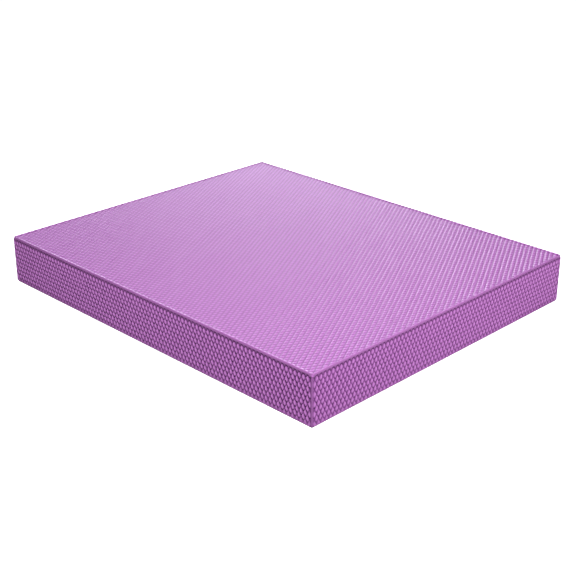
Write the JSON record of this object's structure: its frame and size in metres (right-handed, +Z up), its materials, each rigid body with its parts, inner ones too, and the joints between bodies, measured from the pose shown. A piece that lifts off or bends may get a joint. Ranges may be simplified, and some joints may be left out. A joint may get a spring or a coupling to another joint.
{
  "type": "balance pad",
  "caption": "Rectangular foam balance pad for physiotherapy: a thick laminated foam block with an embossed diamond non-slip skin on every face.",
  "frame": {"origin": "centre of the underside, on the floor that the pad lies on", "axes": "+Z up through the pad's thickness, +X along its long side, +Y along its short side; the front is the long side at -Y and the right is the short side at +X"},
  "size_m": [0.48, 0.4, 0.056],
  "materials": {
    "embossed_skin": "matt purple closed-cell foam skin, embossed with small raised diamonds",
    "core_foam": "matt lilac closed-cell foam, plain cut faces"
  },
  "bodies": {
    "root": {"top_skin": "embossed_skin", "bottom_skin": "embossed_skin", "front_side_skin": "embossed_skin", "right_side_skin": "embossed_skin", "back_side_skin": "embossed_skin", "left_side_skin": "embossed_skin", "core_ply_1": "core_foam", "core_ply_2": "core_foam", "core_ply_3": "core_foam", "core_ply_4": "core_foam", "core_ply_5": "core_foam"}
  },
  "joints": []
}
